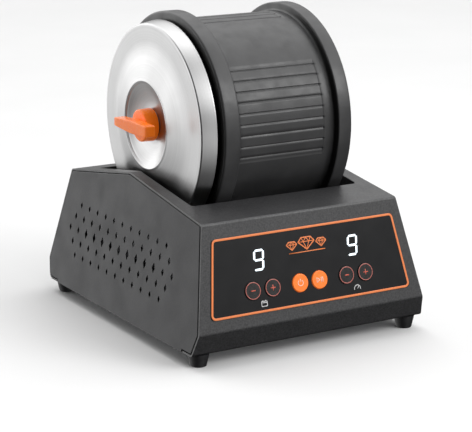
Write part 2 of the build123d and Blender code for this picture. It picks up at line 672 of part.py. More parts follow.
with BuildPart() as wing_knob:
    with BuildSketch(across(KNOB_X, BARREL_Y, BARREL_Z)):
        with BuildLine():
            FilletPolyline(
                (0, WING_MIDDLE), (-WING_HALF, WING_TIP[1]), (-WING_HALF, -WING_TIP[1]), (0, -WING_MIDDLE),
                (WING_HALF, -WING_TIP[0]), (WING_HALF, WING_TIP[0]), radius=WING_CORNER, close=True)
        make_face()
    extrude(amount=HUB_X - KNOB_X + 0.5)
    fillet(wing_knob.edges().group_by(Axis.X)[0], 1.0)
    with BuildSketch(across(KNOB_BACK_X, BARREL_Y, BARREL_Z)):
        Circle(HUB_R)
    extrude(amount=HUB_X - KNOB_BACK_X, taper=2)
    with BuildSketch(across(KNOB_BACK_X, BARREL_Y, BARREL_Z)):
        Circle(STUD_R + RUN)
    extrude(amount=-15, mode=Mode.SUBTRACT)
save(wing_knob.part, "wing_knob")
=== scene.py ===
"""Rotary rock tumbler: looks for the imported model, piece by piece in the order it is put together."""
import math

import bmesh
import bpy
import numpy as np
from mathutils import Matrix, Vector


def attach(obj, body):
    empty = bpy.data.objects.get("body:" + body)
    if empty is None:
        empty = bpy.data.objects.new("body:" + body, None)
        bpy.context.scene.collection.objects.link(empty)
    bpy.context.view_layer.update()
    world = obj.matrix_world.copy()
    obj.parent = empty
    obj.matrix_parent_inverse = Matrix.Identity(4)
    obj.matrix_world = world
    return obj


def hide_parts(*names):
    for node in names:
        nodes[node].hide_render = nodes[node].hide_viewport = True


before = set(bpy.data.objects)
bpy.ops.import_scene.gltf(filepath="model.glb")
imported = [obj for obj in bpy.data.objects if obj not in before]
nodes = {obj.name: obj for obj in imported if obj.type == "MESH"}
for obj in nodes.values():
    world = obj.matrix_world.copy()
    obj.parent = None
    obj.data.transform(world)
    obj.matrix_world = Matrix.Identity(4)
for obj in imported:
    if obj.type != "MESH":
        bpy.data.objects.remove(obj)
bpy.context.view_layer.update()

# ---------------------------------------------------------------- camera
# A long lens stands about 1.3 m away, to the left of the panel and a little above it.
camera_data = bpy.data.cameras.new("camera")
camera_data.lens = 138.5
camera_data.sensor_width = 36.0
camera = bpy.data.objects.new("camera", camera_data)
camera.location = (-0.6224, -1.0605, 0.3803)
looking = Vector((0.4938, 0.8337, -0.2472))
camera.rotation_mode = "QUATERNION"
camera.rotation_quaternion = looking.to_track_quat("-Z", "Y")
bpy.context.scene.collection.objects.link(camera)
bpy.context.scene.camera = camera

# ---------------------------------------------------------------- studio
# Plain pale floor that curves up into a backdrop, under the soft light of large panels.


def grid_mesh(name, points, close_u=False, close_v=False):
    """Mesh of quads on an (n, m, 3) array of points, in metres. Corner (i, j) joins (i + 1, j),
    (i + 1, j + 1) and (i, j + 1); a closed direction also joins its last row to its first."""
    n, m = points.shape[:2]
    i, j = np.meshgrid(np.arange(n if close_u else n - 1), np.arange(m if close_v else m - 1), indexing="ij")
    i, j = i.ravel(), j.ravel()
    up, right = (i + 1) % n, (j + 1) % m
    quads = np.stack([i * m + j, up * m + j, up * m + right, i * m + right], axis=1)
    mesh = bpy.data.meshes.new(name)
    mesh.vertices.add(n * m)
    mesh.vertices.foreach_set("co", points.astype(np.float32).ravel())
    mesh.loops.add(quads.size)
    mesh.loops.foreach_set("vertex_index", quads.astype(np.int32).ravel())
    mesh.polygons.add(len(quads))
    mesh.polygons.foreach_set("loop_start", (np.arange(len(quads)) * 4).astype(np.int32))
    mesh.update(calc_edges=True)
    mesh.validate()
    return mesh


def place(name, mesh, material):
    """Object of that mesh at the origin, in its material, shaded smooth."""
    mesh.polygons.foreach_set("use_smooth", np.full(len(mesh.polygons), True))
    mesh.materials.append(material)
    piece = bpy.data.objects.new(name, mesh)
    bpy.context.scene.collection.objects.link(piece)
    return piece


def plain(name, colour, roughness, metallic=0.0):
    """A new material as a graph to add detail to: (material, nodes, links, shader)."""
    material = bpy.data.materials.new(name)
    material.use_nodes = True
    tree = material.node_tree
    shader = tree.nodes["Principled BSDF"]
    shader.inputs["Base Color"].default_value = (*colour, 1.0)
    shader.inputs["Roughness"].default_value = roughness
    shader.inputs["Metallic"].default_value = metallic
    return material, tree.nodes, tree.links, shader


def mottle(graph, scale, detail=3.0, stretch=(1.0, 1.0, 1.0)):
    """Noise on Object coordinates: scale is patches per metre, stretch multiplies it along each axis."""
    coordinates = graph[1].new("ShaderNodeTexCoord")
    mapping = graph[1].new("ShaderNodeMapping")
    mapping.inputs["Scale"].default_value = stretch
    noise = graph[1].new("ShaderNodeTexNoise")
    noise.inputs["Scale"].default_value = scale
    noise.inputs["Detail"].default_value = detail
    graph[2].new(coordinates.outputs["Object"], mapping.inputs["Vector"])
    graph[2].new(mapping.outputs["Vector"], noise.inputs["Vector"])
    return noise.outputs["Fac"]


def tint(graph, value, dark, light):
    """Base colour that runs from dark to light as the value runs over the middle of its range."""
    ramp = graph[1].new("ShaderNodeValToRGB")
    ramp.color_ramp.elements[0].position = 0.3
    ramp.color_ramp.elements[0].color = (*dark, 1.0)
    ramp.color_ramp.elements[1].position = 0.7
    ramp.color_ramp.elements[1].color = (*light, 1.0)
    graph[2].new(value, ramp.inputs["Fac"])
    graph[2].new(ramp.outputs["Color"], graph[3].inputs["Base Color"])


def floor_finish():
    """Pale matt paper with the faintest mottling."""
    graph = plain("studio_paper", (0.76, 0.76, 0.76), 0.9)
    tint(graph, mottle(graph, 6.0), (0.75, 0.75, 0.75), (0.77, 0.77, 0.77))
    return graph[0]


FLOOR_HALF = 3.0
CURVE_R = 1.0
WALL_HEIGHT = 3.0
FLOOR_SHARE, CURVE_SHARE = 0.6, 0.2   # of the rows of points; the wall has the rest
facing = Vector((0.51, 0.86, 0)).normalized()   # the camera's heading, along the floor


def swept_floor():
    """Points of a floor that runs under the object, a quarter circle up, and a wall behind it. Each is
    run * heading + across * its right-hand side, at the height rise."""
    across = np.linspace(-1, 1, 9)[:, None] * 2 * FLOOR_HALF
    v = np.linspace(0, 1, 49)[None, :]
    turn = np.clip((v - FLOOR_SHARE) / CURVE_SHARE, 0, 1) * math.pi / 2
    run = (np.minimum(v, FLOOR_SHARE) / FLOOR_SHARE * 2 - 1) * FLOOR_HALF + CURVE_R * np.sin(turn)
    up_wall = np.maximum(v - FLOOR_SHARE - CURVE_SHARE, 0) / (1 - FLOOR_SHARE - CURVE_SHARE)
    rise = CURVE_R * (1 - np.cos(turn)) + up_wall * WALL_HEIGHT
    x, y = facing.x * run + facing.y * across, facing.y * run - facing.x * across
    return np.stack(np.broadcast_arrays(x, y, rise), axis=2)


studio_floor = place("studio_floor", grid_mesh("studio_floor", swept_floor()), floor_finish())
studio_floor.visible_diffuse = False   # the lobes below the horizon stand for the light it throws up
studio_floor.visible_glossy = False


# Soft panels of light all round: (elevation, bearing to the left of the camera's heading, sharpness,
# strength). The strongest stand behind the object and on its left. Two lie below the horizon, in place of
# the light that a real floor would throw up.
PANELS = [(35, 0, 10, 0.8), (65, 0, 8, 1.1), (6, 90, 12, 2.4), (6, 45, 12, 2.2), (35, 45, 10, 1.9),
          (42, 225, 10, 1.6), (42, 270, 10, 1.6), (65, 315, 14, 1.6), (65, 45, 14, 1.2), (35, 315, 10, 0.7),
          (6, 0, 12, 0.1), (-42, 62, 5, 0.55), (-12, 225, 14, 1.3)]
FILL = 0.02


def reckon(graph, operation, *values):
    """One arithmetic step in a graph. Each value is a socket of an earlier step or a number."""
    step = graph[1].new("ShaderNodeMath")
    step.operation = operation
    for value, socket in zip(values, step.inputs):
        if isinstance(value, (int, float)):
            socket.default_value = value
        else:
            graph[2].new(value, socket)
    return step.outputs[0]


def panel_sky():
    """World light as a sum of lobes: strength * max(0, ray . panel) ** sharpness, over a weak even fill."""
    world = bpy.data.worlds.new("studio")
    world.use_nodes = True
    background = world.node_tree.nodes["Background"]
    graph = world, world.node_tree.nodes, world.node_tree.links, background
    ray = graph[1].new("ShaderNodeTexCoord").outputs["Generated"]
    total = FILL
    for elevation, bearing, sharpness, strength in PANELS:
        e, b = math.radians(elevation), math.radians(bearing)
        ahead = facing * math.cos(b) + Vector((-facing.y, facing.x, 0)) * math.sin(b)
        along = graph[1].new("ShaderNodeVectorMath")
        along.operation = "DOT_PRODUCT"
        along.inputs[1].default_value = ahead * math.cos(e) + Vector((0, 0, math.sin(e)))
        graph[2].new(ray, along.inputs[0])
        lobe = reckon(graph, "POWER", reckon(graph, "MAXIMUM", along.outputs["Value"], 0.0), sharpness)
        total = reckon(graph, "MULTIPLY_ADD", lobe, strength, total)
    graph[2].new(total, background.inputs["Strength"])
    background.inputs["Color"].default_value = (1.0, 1.0, 1.0, 1.0)
    return world


bpy.context.scene.world = panel_sky()

# One square softbox stands high on the right of the front.
softbox_data = bpy.data.lights.new("softbox", "AREA")
softbox_data.size = 0.7
softbox_data.energy = 8.0
softbox = bpy.data.objects.new("softbox", softbox_data)
softbox.location = (0.72, -1.12, 0.86)
softbox.rotation_mode = "QUATERNION"
softbox.rotation_quaternion = (Vector((0, 0, 0.14)) - softbox.location).to_track_quat("-Z", "Y")
bpy.context.scene.collection.objects.link(softbox)
bpy.context.scene.view_settings.view_transform = "Standard"


# ---------------------------------------------------------------- housing
# One folded sheet makes the front, top and rear, and two leaning plates close its sides. All of it is
# steel in a dark grey powder coat, whose fine orange peel catches the light.


def dress(material, *names):
    """Give CAD nodes their finish by their own material slots."""
    for name in names:
        for material_slot in nodes[name].material_slots:
            material_slot.material = material


def spread(graph, value, low, high, from_low=0.3, from_high=0.7):
    """The value carried from its own range, from_low to from_high, onto low to high."""
    carry = graph[1].new("ShaderNodeMapRange")
    carry.inputs["From Min"].default_value = from_low
    carry.inputs["From Max"].default_value = from_high
    carry.inputs["To Min"].default_value = low
    carry.inputs["To Max"].default_value = high
    graph[2].new(value, carry.inputs["Value"])
    return carry.outputs["Result"]


def relief(graph, value, depth):
    """Bump of that depth in metres, laid over any bump the shader already has."""
    bump = graph[1].new("ShaderNodeBump")
    bump.inputs["Distance"].default_value = depth
    bump.inputs["Strength"].default_value = 1.0
    graph[2].new(value, bump.inputs["Height"])
    normal = graph[3].inputs["Normal"]
    if normal.is_linked:
        graph[2].new(normal.links[0].from_socket, bump.inputs["Normal"])
    graph[2].new(bump.outputs["Normal"], normal)


def repaint_where(graph, mask, colour):
    """Another base colour where the mask is 1, over the one the shader already has."""
    mix = graph[1].new("ShaderNodeMix")
    mix.data_type = "RGBA"
    graph[2].new(mask, mix.inputs["Factor"])
    graph[2].new(graph[3].inputs["Base Color"].links[0].from_socket, mix.inputs["A"])
    mix.inputs["B"].default_value = (*colour, 1.0)
    graph[2].new(mix.outputs["Result"], graph[3].inputs["Base Color"])


def powder_coat(name, dark, light, peel):
    """Dark grey coat: pale specks a fraction of a millimetre across over slow, faint clouds."""
    graph = plain(name, dark, 0.42)
    tint(graph, mottle(graph, 900.0, 4.0), dark, light)
    graph[2].new(spread(graph, mottle(graph, 60.0), 0.36, 0.48), graph[3].inputs["Roughness"])
    relief(graph, mottle(graph, 1300.0, 2.0), peel)
    return graph


VENT_FIELD = {"Y": (0.0085, 0.084), "Z": (0.0512, 0.025)}   # middle and reach of the rows of vents


def shade_vent_walls(graph):
    """Paint the cut walls of the vents almost black, so that each reads as a deep hole. Where the vents
    are, a wall is told from the face by its normal, which has little X in it."""
    shape = graph[1].new("ShaderNodeNewGeometry")
    normal = graph[1].new("ShaderNodeSeparateXYZ")
    graph[2].new(shape.outputs["True Normal"], normal.inputs["Vector"])
    wall = spread(graph, reckon(graph, "ABSOLUTE", normal.outputs["X"]), 1.0, 0.0, 0.7, 0.85)
    coordinates = graph[1].new("ShaderNodeTexCoord")
    point = graph[1].new("ShaderNodeSeparateXYZ")
    graph[2].new(coordinates.outputs["Object"], point.inputs["Vector"])
    for axis, (middle, reach) in VENT_FIELD.items():
        away = reckon(graph, "ABSOLUTE", reckon(graph, "SUBTRACT", point.outputs[axis], middle))
        wall = reckon(graph, "MULTIPLY", wall, spread(graph, away, 1.0, 0.0, reach, reach + 0.0005))
    repaint_where(graph, wall, (0.002, 0.002, 0.002))


dress(powder_coat("shell_coat", (0.020, 0.020, 0.021), (0.058, 0.058, 0.060), 0.00009)[0], "main_shell")
panel_coat = powder_coat("panel_coat", (0.021, 0.021, 0.023), (0.028, 0.028, 0.030), 0.00003)
panel_coat[3].inputs["Specular IOR Level"].default_value = 0.25
shade_vent_walls(panel_coat)
dress(panel_coat[0], "left_side_panel", "right_side_panel")


# The bottom plate and the roller frames are zinc-plated sheet, left bare.
def zinc_plate():
    """Bright plating with the faint spangle and rolling lines of the sheet."""
    graph = plain("zinc_plate", (0.55, 0.56, 0.57), 0.38, metallic=1.0)
    tint(graph, mottle(graph, 140.0, 1.0), (0.46, 0.47, 0.49), (0.62, 0.63, 0.64))
    relief(graph, mottle(graph, 500.0, 3.0, (1.0, 0.06, 1.0)), 0.00002)
    graph[2].new(spread(graph, mottle(graph, 220.0), 0.30, 0.46), graph[3].inputs["Roughness"])
    return graph[0]


plated_sheet = zinc_plate()
dress(plated_sheet, "base_plate", "left_roller_frame", "right_roller_frame")


# Four tapered feet of black rubber, each held by a screw from above.
def foot_rubber():
    """Satin black rubber with a fine grain from its mould."""
    graph = plain("foot_rubber", (0.018, 0.018, 0.019), 0.48)
    tint(graph, mottle(graph, 300.0), (0.013, 0.013, 0.014), (0.026, 0.026, 0.028))
    relief(graph, mottle(graph, 1800.0, 2.0), 0.00004)
    return graph[0]


dress(foot_rubber(), "front_left_foot", "front_right_foot", "rear_left_foot", "rear_right_foot")


# Machine screws, posts, clips and washers are turned from zinc-plated steel.
def fastener_steel():
    """Bright turned steel with fine machining marks and slightly cloudy plating."""
    graph = plain("fastener_steel", (0.62, 0.62, 0.63), 0.30, metallic=1.0)
    tint(graph, mottle(graph, 400.0), (0.52, 0.52, 0.54), (0.68, 0.68, 0.69))
    relief(graph, mottle(graph, 2500.0, 2.0), 0.00001)
    return graph[0]


dress(fastener_steel(), "foot_screws", "board_screws", "frame_screws", "motor_screws", "board_standoffs",
      "driver_posts", "inlet_nut", "drive_shaft_clips", "idler_shaft_clips", "knob_washer")


# The screws under the bottom are black-oxide steel.
def black_oxide():
    """Nearly black steel with an oily, slightly brown sheen."""
    graph = plain("black_oxide", (0.02, 0.019, 0.018), 0.4, metallic=0.6)
    tint(graph, mottle(graph, 600.0), (0.015, 0.014, 0.014), (0.028, 0.026, 0.024))
    relief(graph, mottle(graph, 2500.0, 2.0), 0.00001)
    return graph[0]


dress(black_oxide(), "base_screws")

# ---------------------------------------------------------------- control overlay
# A sheet of near-black plastic stuck to the folded front, printed on its face. Everything on it is placed
# in the panel's own frame: u along X, v up the slope from the sheet's lower fold, h out of its face.
PANEL_FOOT = Vector((0.0, -0.1110, 0.0236))
PANEL_UP = Vector((0.0, 0.0174, 0.0673)).normalized()
PANEL_OUT = Vector((1, 0, 0)).cross(PANEL_UP)
OVERLAY_H = 0.0006
BUTTON_FACE_H = 0.0013
BUTTON_V = 0.023


def on_panel(u, v, h):
    """Points in space for places on the panel: foot + u across + v up the slope + h outwards."""
    u, v, h = np.broadcast_arrays(u, v, h)
    return (np.array(PANEL_FOOT) + u[..., None] * np.array((1.0, 0.0, 0.0))
            + v[..., None] * np.array(PANEL_UP) + h[..., None] * np.array(PANEL_OUT))


def overlay_finish():
    """Smooth dark sheet: an even satin gloss, wiped a little cloudy by fingers."""
    graph = plain("overlay_sheet", (0.014, 0.014, 0.015), 0.30)
    tint(graph, mottle(graph, 45.0), (0.009, 0.009, 0.010), (0.012, 0.012, 0.013))
    graph[2].new(spread(graph, mottle(graph, 90.0, 2.0), 0.30, 0.36), graph[3].inputs["Roughness"])
    graph[3].inputs["Specular IOR Level"].default_value = 0.22
    return graph[0]


dress(overlay_finish(), "control_overlay")


def toned(colour, share):
    """The colour with every part multiplied by share, and held at 1."""
    return tuple(min(1.0, share * part) for part in colour)


def ink(name, colour):
    """Screen-printed ink: flat colour broken by the print's slight unevenness."""
    graph = plain(name, colour, 0.45)
    tint(graph, mottle(graph, 700.0), toned(colour, 0.93), toned(colour, 1.05))
    relief(graph, mottle(graph, 3000.0, 2.0), 0.00001)
    return graph[0]


orange_ink = ink("orange_ink", (1.0, 0.26, 0.07))
white_ink = ink("white_ink", (0.80, 0.80, 0.80))


def arc(centre, radius, start, end, count):
    """Points on a circle from one angle to another, in degrees: centre + radius (cos, sin)."""
    a = np.radians(np.linspace(start, end, count))
    return np.stack([centre[0] + radius * np.cos(a), centre[1] + radius * np.sin(a)], axis=1)


def rounded(corners, radii, count=8):
    """Closed outline through the corners, each replaced by an arc tangent to its two sides.
    The arc's centre lies on the corner's bisector, radius / sin(half the corner) away."""
    corners = np.asarray(corners, float)
    before, after = np.roll(corners, 1, axis=0) - corners, np.roll(corners, -1, axis=0) - corners
    before /= np.linalg.norm(before, axis=1)[:, None]
    after /= np.linalg.norm(after, axis=1)[:, None]
    bisector = before + after
    bisector /= np.linalg.norm(bisector, axis=1)[:, None]
    half = np.arccos(np.clip((before * bisector).sum(1), -1, 1))
    radii = np.broadcast_to(radii, half.shape)
    centres = corners + bisector * (radii / np.sin(half))[:, None]
    reach = (radii / np.tan(half))[:, None]
    first, last = corners + before * reach - centres, corners + after * reach - centres
    start = np.arctan2(first[:, 1], first[:, 0])
    sweep = (np.arctan2(last[:, 1], last[:, 0]) - start + np.pi) % (2 * np.pi) - np.pi
    a = start[:, None] + sweep[:, None] * np.linspace(0, 1, count)[None, :]
    points = centres[:, None] + radii[:, None, None] * np.stack([np.cos(a), np.sin(a)], axis=2)
    return points.reshape(-1, 2)


def raised_line(path, width, base_h, height, closed):
    """Printed line: a low rounded profile carried along a path (u, v) on the panel. Each path point is
    spread sideways along the mean normal of its two neighbours; open ends are drawn to a point."""
    ahead = np.roll(path, -1, axis=0) - path
    behind = path - np.roll(path, 1, axis=0)
    if not closed:
        ahead[-1], behind[0] = behind[-1], ahead[0]
    ahead /= np.linalg.norm(ahead, axis=1)[:, None]
    behind /= np.linalg.norm(behind, axis=1)[:, None]
    along = ahead + behind
    along /= np.linalg.norm(along, axis=1)[:, None]
    mitre = 1.0 / np.maximum((along * ahead).sum(1), 0.5)
    normal = np.stack([-along[:, 1], along[:, 0]], axis=1) * mitre[:, None]
    side = np.array([-1.0, -0.86, -0.5, 0.0, 0.5, 0.86, 1.0, 0.0]) * width / 2
    lift = np.array([0.0, 0.7, 0.97, 1.0, 0.97, 0.7, 0.0, -0.2]) * height
    place_2d = path[:, None, :] + normal[:, None, :] * side[None, :, None]
    heights = base_h + np.broadcast_to(lift, place_2d.shape[:2])
    points = on_panel(place_2d[..., 0], place_2d[..., 1], heights)
    if not closed:
        tips = [np.repeat(end.mean(axis=1, keepdims=True), 8, axis=1) for end in (points[:1], points[-1:])]
        points = np.concatenate([tips[0], points, tips[1]])
    return points, closed


def join(parts):
    """Several meshes made one piece, with coincident points merged and every face turned outwards."""
    whole = bmesh.new()
    for part in parts:
        whole.from_mesh(part.data)
    bmesh.ops.remove_doubles(whole, verts=whole.verts, dist=1e-7)
    bmesh.ops.recalc_face_normals(whole, faces=whole.faces)
    whole.to_mesh(parts[0].data)
    whole.free()
    for part in parts[1:]:
        bpy.data.objects.remove(part)
    parts[0].data.polygons.foreach_set("use_smooth", np.full(len(parts[0].data.polygons), True))
    return parts[0]


def print_on_panel(name, lines, material, body):
    """Join printed lines, each (points, closed), into one piece that rides with a body."""
    parts = []
    for points, closed in lines:
        parts.append(place(name, grid_mesh(name, points, close_u=closed, close_v=True), material))
    piece = join(parts)
    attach(piece, body)


# The orange border is a rounded trapezium that follows the overlay's edge.
BORDER_WIDTH = 0.0015
BORDER_MIDDLE = np.array([0.0, 0.0337])
BORDER_HALF = np.array([0.0735, 0.0256])
border = rounded([(-0.0772, 0.0081), (0.0772, 0.0081), (0.0697, 0.0592), (-0.0697, 0.0592)], 0.0026)
border = BORDER_MIDDLE + (border - BORDER_MIDDLE) * (1 - BORDER_WIDTH / 2 / BORDER_HALF)
print_on_panel("panel_border", [raised_line(border, BORDER_WIDTH, OVERLAY_H, 0.00007, True)],
               orange_ink, "base")


# ---------------------------------------------------------------- numerals
# Two lit seven-segment numerals shine cold white through the dark sheet.
def lit_segment():
    """White light with a bluish edge, a little uneven like a diffuser's."""
    graph = plain("lit_segment", (0.8, 0.9, 1.0), 0.5)
    ramp = graph[1].new("ShaderNodeValToRGB")
    ramp.color_ramp.elements[0].color = (0.72, 0.90, 1.0, 1.0)
    ramp.color_ramp.elements[1].color = (0.95, 0.99, 1.0, 1.0)
    graph[2].new(mottle(graph, 500.0), ramp.inputs["Fac"])
    graph[2].new(ramp.outputs["Color"], graph[3].inputs["Emission Color"])
    graph[3].inputs["Emission Strength"].default_value = 1.3
    return graph[0]


segment_light = lit_segment()
DIGIT_HALF = np.array([0.0033, 0.0062])
DIGIT_LEAN = 0.11
SEGMENT = 0.0014
SEGMENT_GAP = 0.00025
NUMERAL_V = 0.042
NINE = {"top": ((-1, 1), (1, 1)), "upper_left": ((-1, 0), (-1, 1)), "upper_right": ((1, 0), (1, 1)),
        "middle": ((-1, 0), (1, 0)), "lower_right": ((1, -1), (1, 0)), "bottom": ((-1, -1), (1, -1))}


def segment(middle, ends):
    """One bar of a numeral: a flat-topped bar with pointed ends, leaned over with the whole numeral."""
    first, last = (np.array(end) * DIGIT_HALF for end in ends)
    along = (last - first) / np.linalg.norm(last - first)
    across = np.array([-along[1], along[0]])
    half = np.linalg.norm(last - first) / 2 - SEGMENT_GAP
    t = np.array([-half, -half + SEGMENT / 2, half - SEGMENT / 2, half])
    w = np.array([0.02, 1.0, 1.0, 0.02]) * SEGMENT / 2
    sides = (w[:, None] * np.array([-1, 1]))[..., None]
    flat = (first + last) / 2 + t[:, None, None] * along + sides * across
    flat[..., 0] += DIGIT_LEAN * flat[..., 1]
    flat += np.array(middle)
    top = on_panel(flat[..., 0], flat[..., 1], OVERLAY_H + 0.00006)
    low = on_panel(flat[..., 0], flat[..., 1], OVERLAY_H - 0.00002)
    ring = np.stack([low[:, 0], top[:, 0], top[:, 1], low[:, 1]], axis=1)
    ends = [np.repeat(ring[i:i + 1].mean(axis=1, keepdims=True), 4, axis=1) for i in (0, -1)]
    return np.concatenate([ends[0], ring, ends[1]]), False


for name, u in (("days_numeral", -0.0372), ("speed_numeral", 0.0352)):
    bars = [segment((u, NUMERAL_V), ends) for ends in NINE.values()]
    print_on_panel(name, bars, segment_light, "base")

# ---------------------------------------------------------------- keys
# Six moulded caps stand a little proud of the sheet and click inwards. The middle two are orange with pale
# signs; the four outer ones are dark with a fine salmon ring and a minus or a plus.


def key_plastic(name, colour):
    """Moulded gloss plastic, its polish a little dulled by use."""
    graph = plain(name, colour, 0.25)
    tint(graph, mottle(graph, 200.0), toned(colour, 0.9), toned(colour, 1.06))
    graph[2].new(spread(graph, mottle(graph, 350.0), 0.20, 0.34), graph[3].inputs["Roughness"])
    return graph


def glow(graph, colour, strength):
    """A little light of the surface's own, in place of light that the studio doesn't throw on it."""
    graph[3].inputs["Emission Color"].default_value = (*colour, 1.0)
    graph[3].inputs["Emission Strength"].default_value = strength


black_key = key_plastic("black_key", (0.016, 0.014, 0.014))[0]
orange_plastic = key_plastic("orange_key", (0.98, 0.21, 0.03))
glow(orange_plastic, (1.0, 0.20, 0.02), 0.3)
orange_key = orange_plastic[0]
ring_ink = ink("ring_ink", (0.55, 0.16, 0.13))
sign_ink = ink("sign_ink", (0.72, 0.13, 0.08))
pale_ink = ink("pale_ink", (0.95, 0.72, 0.60))
KEY_R = 0.00595
keys = {"days_minus": (-0.0445, "minus"), "days_plus": (-0.0295, "plus"), "power": (-0.0084, "power"),
        "play": (0.0066, "play"), "speed_minus": (0.0277, "minus"), "speed_plus": (0.0427, "plus")}


def bar(start, end):
    """Straight path from start to end in three steps."""
    return np.linspace(start, end, 4)


def upright(u, half):
    """Straight path of 2 * half up the panel, at u."""
    return bar((u, -half), (u, half))


def key_sign(kind, u):
    """Printed lines of one key's sign, as raised lines about its middle."""
    middle = np.array([u, BUTTON_V])
    if kind == "minus":
        paths = [(bar((-0.0017, 0), (0.0017, 0)), 0.0007, False)]
    elif kind == "plus":
        paths = [(bar((-0.0019, 0), (0.0019, 0)), 0.0006, False), (upright(0, 0.0019), 0.0006, False)]
    elif kind == "power":
        paths = [(arc((0, 0), 0.0019, 125, 415, 28), 0.00055, False),
                 (bar((0, 0.0006), (0, 0.0026)), 0.00055, False)]
    else:
        triangle = rounded([(-0.0024, -0.0015), (0.0, 0.0), (-0.0024, 0.0015)], 0.0001, 3)
        paths = [(triangle, 0.0005, True), (upright(0.0010, 0.0017), 0.0006, False),
                 (upright(0.0022, 0.0017), 0.0006, False)]
    return [raised_line(middle + path, width, BUTTON_FACE_H, 0.00006, closed)
            for path, width, closed in paths]


for name, (u, kind) in keys.items():
    body = name + "_key"
    bright = kind in ("power", "play")
    dress(orange_key if bright else black_key, name + "_button")
    print_on_panel(name + "_sign", key_sign(kind, u), pale_ink if bright else sign_ink, body)
    if not bright:
        circle = arc((u, BUTTON_V), KEY_R - 0.0006, 0, 360, 49)[:-1]
        ring = raised_line(circle, 0.00055, BUTTON_FACE_H - 0.00002, 0.00006, True)
        print_on_panel(name + "_ring", [ring], ring_ink, body)

# ---------------------------------------------------------------- pictograms
# Small printed signs stand where the maker's words are: three cut stones over a line, a calendar, a dial.
def cut_stone(middle, half_width, half_height, width):
    """Printed outline of a cut stone with its girdle and facets, scaled about its middle."""
    outline = [(-1.0, 0.3), (-0.58, 1.0), (0.58, 1.0), (1.0, 0.3), (0.0, -1.0)]
    facets = [((-0.94, 0.3), (0.94, 0.3)), ((-0.36, 0.3), (-0.02, -0.85)), ((0.36, 0.3), (0.02, -0.85)),
              ((-0.36, 0.3), (-0.56, 0.95)), ((0.36, 0.3), (0.56, 0.95)), ((-0.36, 0.3), (0.0, 0.95)),
              ((0.36, 0.3), (0.0, 0.95))]
    scale = np.array([half_width, half_height])
    girth = middle + rounded(np.array(outline) * scale, 0.0003, 4)
    lines = [raised_line(girth, width, OVERLAY_H, 0.00006, True)]
    for ends in facets:
        cut = middle + bar(*(np.array(end) * scale for end in ends))
        lines.append(raised_line(cut, 0.7 * width, OVERLAY_H, 0.00005, False))
    return lines


stones = cut_stone(np.array([0.0, 0.0480]), 0.0062, 0.0040, 0.0008)
for u in (-0.0113, 0.0113):
    stones += cut_stone(np.array([u, 0.0474]), 0.0040, 0.0027, 0.0007)
stones.append(raised_line(bar((-0.0140, 0.0427), (0.0140, 0.0427)), 0.0006, OVERLAY_H, 0.00005, False))
print_on_panel("stone_pictogram", stones, orange_ink, "base")

PICTOGRAM_V = 0.0137
page = rounded([(-0.0021, -0.0017), (0.0021, -0.0017), (0.0021, 0.0015), (-0.0021, 0.0015)], 0.0004, 4)
calendar = [(page, True), (bar((-0.0019, 0.0006), (0.0019, 0.0006)), False),
            (bar((-0.0010, 0.0013), (-0.0010, 0.0022)), False),
            (bar((0.0010, 0.0013), (0.0010, 0.0022)), False)]
dial = [(arc((0, -0.0008), 0.0024, -15, 195, 20), False), (bar((0, -0.0008), (0.0013, 0.0008)), False)]
for name, u, paths in (("days_pictogram", -0.0370, calendar), ("speed_pictogram", 0.0352, dial)):
    middle = np.array([u, PICTOGRAM_V])
    lines = [raised_line(middle + path, 0.0005, OVERLAY_H, 0.00005, closed) for path, closed in paths]
    print_on_panel(name, lines, white_ink, "base")


# ---------------------------------------------------------------- electronics
# The boards are glass-fibre laminate under green solder mask; their parts and the inlet are black plastic.
def solder_mask():
    """Green mask over straight copper tracks that show as paler lines."""
    graph = plain("solder_mask", (0.012, 0.10, 0.045), 0.32)
    coordinates = graph[1].new("ShaderNodeTexCoord")
    tracks = graph[1].new("ShaderNodeTexBrick")
    tracks.inputs["Scale"].default_value = 160.0
    tracks.inputs["Mortar Size"].default_value = 0.012
    tracks.inputs["Color1"].default_value = (0.010, 0.085, 0.040, 1.0)
    tracks.inputs["Color2"].default_value = (0.012, 0.105, 0.048, 1.0)
    tracks.inputs["Mortar"].default_value = (0.05, 0.24, 0.10, 1.0)
    graph[2].new(coordinates.outputs["Object"], tracks.inputs["Vector"])
    graph[2].new(tracks.outputs["Color"], graph[3].inputs["Base Color"])
    relief(graph, tracks.outputs["Fac"], 0.00002)
    return graph[0]


dress(solder_mask(), "control_board", "driver_board")


def black_moulding():
    """Matt black moulded plastic with a fine spark-eroded grain."""
    graph = plain("black_moulding", (0.020, 0.020, 0.021), 0.5)
    tint(graph, mottle(graph, 260.0), (0.016, 0.016, 0.017), (0.028, 0.028, 0.029))
    relief(graph, mottle(graph, 2200.0, 2.0), 0.00004)
    return graph[0]


dress(black_moulding(), "tact_switches", "driver_parts", "power_inlet", "days_display", "speed_display")


# ---------------------------------------------------------------- drive
# A geared motor turns the rear roller by a belt. Shafts are ground steel, pulleys turned aluminium, the
# sleeves that carry the barrel are rubber.
def ground_steel(name, colour, roughness):
    """Bright steel with fine marks round the X axis, as grinding or turning leaves."""
    graph = plain(name, colour, roughness, metallic=1.0)
    tint(graph, mottle(graph, 800.0, 2.0, (1.0, 0.15, 0.15)), toned(colour, 0.85), colour)
    relief(graph, mottle(graph, 3000.0, 2.0, (1.0, 0.1, 0.1)), 0.000008)
    return graph[0]


dress(ground_steel("ground_shaft", (0.68, 0.68, 0.69), 0.2),
      "drive_shaft", "idler_shaft", "motor_shaft", "lid_stud")
dress(ground_steel("bearing_race", (0.60, 0.60, 0.61), 0.25), "roller_bearings")
dress(ground_steel("turned_aluminium", (0.74, 0.75, 0.76), 0.32), "drive_pulley", "motor_pulley")
dress(ground_steel("motor_casing", (0.50, 0.51, 0.52), 0.36), "motor_can", "gearbox")


